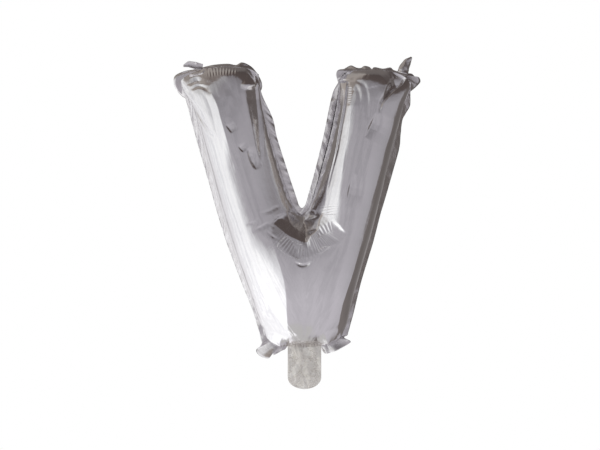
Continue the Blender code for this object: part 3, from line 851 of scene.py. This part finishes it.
def borderStrip(name, node, seam, edge, seed):
    # from the seam to the free edge: (1 - v) * seam + v * edge, with waves that grow as v ^ growth
    b = borderWaves
    s = runLength(seam)
    free = smoothLine(edge, b["pointsEach"] * len(edge))
    there = runLength(free)
    at = s / s[-1] * there[-1]
    free = np.stack([np.interp(at, there, free[:, k]) for k in range(3)], 1)
    v = np.linspace(0, 1, b["columns"] + 1)[None, :, None]
    points = seam[:, None] * (1 - v) + free[:, None] * v
    width = np.linalg.norm(free - seam, axis=1)[:, None]
    v = v[..., 0]
    wave = b["swing"].get(name, 1.0) * ripple(s, seed, b["long"], b["short"])
    points[..., 1] += wave[:, None] * v ** b["growth"]
    cut = np.stack([np.broadcast_to(s[:, None], points.shape[:2]), width * v], -1)
    piece = thicken(gridMesh(name, points, cut), b["thickness"])
    dress(piece, node, seal)


# The foot's stretch of the seam is left open where the neck comes out.
loop, ends = seamLoop()
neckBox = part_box("neck_front_film")
neckLeft, neckRight = neckBox[0][0] / mm, neckBox[1][0] / mm
footX = loop[ends[4]:, 0]
rightEnd = ends[4] + int(np.argmax(footX < neckRight))
leftStart = ends[4] + int(np.argmax(footX < neckLeft))
stretches = [(0, ends[0]), (ends[0] - 1, ends[1]), (ends[1] - 1, ends[2]), (ends[2] - 1, ends[3]),
             (ends[3] - 1, ends[4]), (ends[4] - 1, rightEnd), (leftStart, len(loop))]
for seed, (name, (a, b)) in enumerate(zip(borders, stretches), borderWaves["firstSeed"]):
    node, edge = borders[name]
    borderStrip(name, node, loop[a:b], edge, seed)
print("borders made")


# Hang tabs, one at each shoulder.

tabs = {
    # name: node, middle line as (x, y, z), half widths evenly along it, how far its edges curl back
    "hang_tab_leaf_left": (
        "hang_tab_left", [(-116, -2, -4), (-124, -4, -2.5), (-132, -5, -1), (-138.5, -5, -3)],
        [3.5, 4.2, 3.6, 1.2], -2.5),
    "hang_tab_leaf_right": (
        "hang_tab_right", [(120, -3, -11), (122, 0, -4), (126, 4, 3), (131, 7, 9)],
        [7, 6.5, 5, 1.0], 4.0),
}
tabShape = {"rows": 25, "columns": 11, "thickness": 0.3, "long": 14, "short": 5, "swing": 0.4,
            "firstSeed": 31}


def tab(name, node, path, widths, curl, seed):
    # a leaf carried along a path: centre + u * half width sideways, cupped by curl * u ^ 2
    shape = tabShape
    line = np.array(path, float)
    s = runLength(line)
    t = np.linspace(0, s[-1], shape["rows"])
    centre = np.stack([np.interp(t, s, line[:, k]) for k in range(3)], 1)
    half = np.interp(t, s, widths)
    way = np.gradient(centre, axis=0)
    way /= np.linalg.norm(way, axis=1, keepdims=True)
    side = np.stack([way[:, 2], 0 * way[:, 0], -way[:, 0]], 1)
    u = np.linspace(-1, 1, shape["columns"])
    points = centre[:, None] + side[:, None] * (half[:, None] * u)[..., None]
    wave = ripple(t, seed, shape["long"], shape["short"])[:, None]
    points[..., 1] += curl * (u ** 2) * half[:, None] / half.max() + shape["swing"] * wave * u
    cut = np.stack(np.broadcast_arrays(t[:, None], half[:, None] * u), -1)
    piece = thicken(gridMesh(name, points, cut), shape["thickness"])
    dress(piece, node, seal)


for seed, (name, settings) in enumerate(tabs.items(), tabShape["firstSeed"]):
    tab(name, *settings, seed)
print("tabs made")


# The neck, an open sleeve of thin film with the valve film inside it.

neckSheets = {
    # name: node, slot, finish, place in front of the seam (less than 0) or behind it, bulge
    "neck_film_front": ("neck_front_film", "neck_film", neckFilm, -0.8, -1.6),
    "neck_film_back": ("neck_back_film", "neck_film", neckFilm, 0.8, 1.6),
    "valve_tongue": ("valve_film", "valve_film", valveFilm, 0.0, 0.0),
}
neckShape = {
    "columns": 61, "rows": 81,
    "intoFoot": 4,          # how far it reaches up beyond its node, into the foot
    "roundEnd": 0.7,        # length of its round end, as a share of the half width
    "crumples": (26, 17, 9), "crumpleHeight": 3.2, "crumpleAtRim": 0.3,
    "firstSeed": 41,
}


def crumple(x, z, seed, sizes, height):
    # folds in several directions: the sum of sharp-crested waves, each |sin| of a slanted distance
    r = np.random.default_rng(seed)
    total = np.zeros_like(x)
    for size in sizes:
        a, phase = r.uniform(0, np.pi), r.uniform(0, 6.3)
        bend = 1.5 * np.sin(2 * np.pi * (x * np.sin(a) - z * np.cos(a)) / (3.1 * size) + phase)
        slanted = np.pi * (x * np.cos(a) + z * np.sin(a)) / size + phase + bend
        total += (1 - 2 * np.abs(np.sin(slanted))) * size
    return height * total / sum(sizes)


def neckSheet(name, node, slot, material, y, bulge, seed):
    # across u and down v; the half width shrinks as sqrt(1 - r ^ 2) towards the round end
    shape = neckShape
    low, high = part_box(node)
    left, right, bottom, top = low[0] / mm, high[0] / mm, low[2] / mm, high[2] / mm
    u, v = np.linspace(-1, 1, shape["columns"]), np.linspace(0, 1, shape["rows"])[:, None]
    radius = 0.5 * (right - left)
    end = shape["roundEnd"] * radius
    z = top + shape["intoFoot"] + (bottom - top - shape["intoFoot"]) * v
    r = np.clip((bottom + end - z) / end, 0, 0.999)
    x = 0.5 * (left + right) + radius * np.sqrt(1 - r ** 2) * u
    x, z = np.broadcast_arrays(x, z)
    edge = (1 - u ** 2) * (1 - r ** 2)
    strength = shape["crumpleAtRim"] + (1 - shape["crumpleAtRim"]) * np.sqrt(edge)
    y = y + bulge * edge + crumple(x, z, seed, shape["crumples"], shape["crumpleHeight"]) * strength
    piece = gridMesh(name, np.stack([x, y, z], -1), np.stack([x, z], -1))
    dress(piece, node, material)


for seed, (name, settings) in enumerate(neckSheets.items(), neckShape["firstSeed"]):
    neckSheet(name, *settings, seed)
print("neck made")


# Studio: soft light by direction, a pale floor, a lamp for it and the camera.

studio = {
    # colours by the direction they come from, in degrees: 0 is the camera's side, 90 the right,
    # -90 the left and 180 behind the balloon
    "walls": [
        (-180, (0.6, 0.57, 0.56)), (-165, (0.62, 0.6, 0.6)), (-150, (0.6, 0.57, 0.56)),
        (-142, (0.42, 0.39, 0.38)), (-134, (0.17, 0.15, 0.145)), (-118, (0.13, 0.115, 0.11)),
        (-108, (0.3, 0.28, 0.28)), (-100, (0.6, 0.6, 0.62)), (-95, (1.0, 1.0, 1.0)),
        (-88, (0.7, 0.7, 0.73)), (-81, (1.0, 1.0, 1.0)), (-72, (0.72, 0.72, 0.75)),
        (-64, (1.0, 1.0, 1.0)), (-56, (0.88, 0.88, 0.9)), (-46, (1.0, 1.0, 1.0)),
        (-38, (0.8, 0.8, 0.82)), (-24, (0.55, 0.54, 0.56)), (-15, (0.42, 0.40, 0.43)),
        (-6, (0.46, 0.44, 0.47)), (2, (0.37, 0.355, 0.38)), (10, (0.44, 0.42, 0.45)),
        (20, (0.36, 0.345, 0.37)), (30, (0.43, 0.41, 0.44)), (60, (0.38, 0.365, 0.39)),
        (80, (0.34, 0.325, 0.345)), (86, (0.155, 0.137, 0.132)), (120, (0.14, 0.125, 0.12)),
        (140, (0.17, 0.155, 0.15)), (160, (0.3, 0.28, 0.28)), (180, (0.6, 0.57, 0.56))],
    "ceiling": [
        (-180, (0.24, 0.21, 0.2)), (-155, (0.32, 0.28, 0.26)), (-140, (0.52, 0.48, 0.45)),
        (-85, (0.56, 0.5, 0.46)), (-60, (0.46, 0.41, 0.375)), (-40, (0.3, 0.25, 0.23)),
        (-25, (0.18, 0.145, 0.135)), (-5, (0.15, 0.118, 0.11)), (100, (0.13, 0.105, 0.1)),
        (122, (0.18, 0.155, 0.15)), (145, (0.24, 0.21, 0.2)), (180, (0.24, 0.21, 0.2))],
    # the ceiling begins at this elevation, lower over the bright side
    "ceilingFrom": [(-180, 24), (-140, 26), (-75, 26), (-60, 32), (-50, 42), (-40, 52), (-28, 60), (0, 62),
                    (20, 58), (45, 45), (70, 34), (100, 26), (140, 20), (180, 24)],
    "veil": (20.0, 0.3),            # it comes in from this far below, up to this share
    # low down the walls are brighter between these directions, up to this elevation
    "lowShare": [(-165, 0.0), (-150, 0.9), (-134, 0.9), (-128, 0.4), (-121, 0.9), (-103, 1.0), (-96, 0.0)],
    "lowColour": (0.8, 0.79, 0.81), "lowUpTo": 9,
    # the table lies below this elevation
    "table": (0.4, 0.39, 0.385),
    "tableFrom": [(-180, -80), (-50, -86), (-30, -78), (-16, -65), (12, -65), (28, -78), (50, -86),
                  (180, -80)],
    # how bright each elevation is as a whole
    "gain": [(-90, 1.3), (-35, 1.3), (-10, 1.04), (10, 0.95), (25, 0.85), (42, 0.66), (90, 0.6)],
    "softness": 3.0,                # of the edges between them, in degrees
}


def world():
    # the camera sees white behind the balloon, and the foil mirrors the studio
    w = bpy.data.worlds.new("studio")
    bpy.context.scene.world = w
    w.use_nodes = True
    tree = w.node_tree
    link, new = tree.links.new, tree.nodes.new
    white, black = (1, 1, 1), (0, 0, 0)
    soft = studio["softness"] / 180

    # turn: atan2(x, -y) once round as 0 to 1; rise: asin(z) from straight down to straight up as 0 to 1
    way = new("ShaderNodeSeparateXYZ")
    link(new("ShaderNodeTexCoord").outputs["Generated"], way.inputs[0])
    turn = calc(tree, "ARCTAN2", way.outputs["X"], calc(tree, "MULTIPLY", way.outputs["Y"], -1.0))
    turn = calc(tree, "ADD", calc(tree, "DIVIDE", turn, 2 * math.pi), 0.5)
    rise = calc(tree, "DIVIDE", calc(tree, "ARCSINE", way.outputs["Z"]), math.pi)
    rise = calc(tree, "ADD", rise, 0.5)

    def riseShare(degrees):
        return (degrees + 90) / 180

    def byTurn(stops):
        return ramp(tree, turn, [((a + 180) / 360, colour) for a, colour in stops])

    def above(border):
        # 0.5 on a border that runs round the room at the given elevations, more above it
        border = byTurn([(a, (riseShare(e),) * 3) for a, e in border])
        return calc(tree, "ADD", calc(tree, "SUBTRACT", rise, border), 0.5)

    isLow = ramp(tree, rise, [(riseShare(0), white), (riseShare(studio["lowUpTo"]), black)])
    isLow = calc(tree, "MULTIPLY", isLow, byTurn([(a, (k,) * 3) for a, k in studio["lowShare"]]))
    colour = mix(tree, isLow, byTurn(studio["walls"]), studio["lowColour"])

    reach, veil = studio["veil"]
    isCeiling = ramp(tree, above(studio["ceilingFrom"]), [
        (0.5 - reach / 180, black), (0.5 - soft, (veil,) * 3), (0.5 + soft, white)])
    colour = mix(tree, isCeiling, colour, byTurn(studio["ceiling"]))

    isTable = ramp(tree, above(studio["tableFrom"]), [(0.5 - 0.5 * soft, white), (0.5 + 0.5 * soft, black)])
    colour = mix(tree, isTable, colour, studio["table"])

    most = max(g for e, g in studio["gain"])
    gain = greyRamp(tree, rise, [(riseShare(e), g / most) for e, g in studio["gain"]])
    bright = new("ShaderNodeVectorMath")
    bright.operation = "SCALE"
    link(colour, bright.inputs[0])
    link(calc(tree, "MULTIPLY", gain, most), bright.inputs["Scale"])
    seen = new("ShaderNodeLightPath").outputs["Is Camera Ray"]
    link(mix(tree, seen, bright.outputs[0], (1.0, 1.0, 1.0)), tree.nodes["Background"].inputs["Color"])


# in metres and degrees, the lens in millimetres
stage = {
    "floorRadius": 1.9, "floorHeight": -0.85, "floorCorners": 96,
    "floorColour": (0.86, 0.86, 0.87, 1), "floorRoughness": 0.9,
    "lampPower": 2.2, "lampWidth": 70, "lampTilt": 18,
    "lens": 85, "eye": (-0.00118, -1.672, -0.190),
}


def floor():
    bpy.ops.mesh.primitive_circle_add(vertices=stage["floorCorners"], radius=stage["floorRadius"],
                                      fill_type="NGON", location=(0, 0, stage["floorHeight"]))
    ground = bpy.context.object
    ground.name = "floor"
    material, tree, shader = nodeTree("pale floor")
    shader.inputs["Base Color"].default_value = stage["floorColour"]
    shader.inputs["Roughness"].default_value = stage["floorRoughness"]
    ground.data.materials.append(material)
    ground.visible_glossy = False


def lamp():
    # for the floor and the neck; the foil mirrors the studio round it, not the lamp
    light = bpy.data.lights.new("soft light", "SUN")
    light.energy = stage["lampPower"]
    light.angle = math.radians(stage["lampWidth"])
    light = bpy.data.objects.new("soft light", light)
    light.rotation_euler = (math.radians(stage["lampTilt"]), 0, 0)
    light.visible_glossy = False
    bpy.context.scene.collection.objects.link(light)


def camera():
    data = bpy.data.cameras.new("camera")
    data.lens = stage["lens"]
    eye = bpy.data.objects.new("camera", data)
    bpy.context.scene.collection.objects.link(eye)
    eye.location = stage["eye"]
    eye.rotation_euler = (math.pi / 2, 0, 0)
    bpy.context.scene.camera = eye


world()
floor()
lamp()
camera()
bpy.context.scene.view_settings.view_transform = "Standard"
print("studio made")
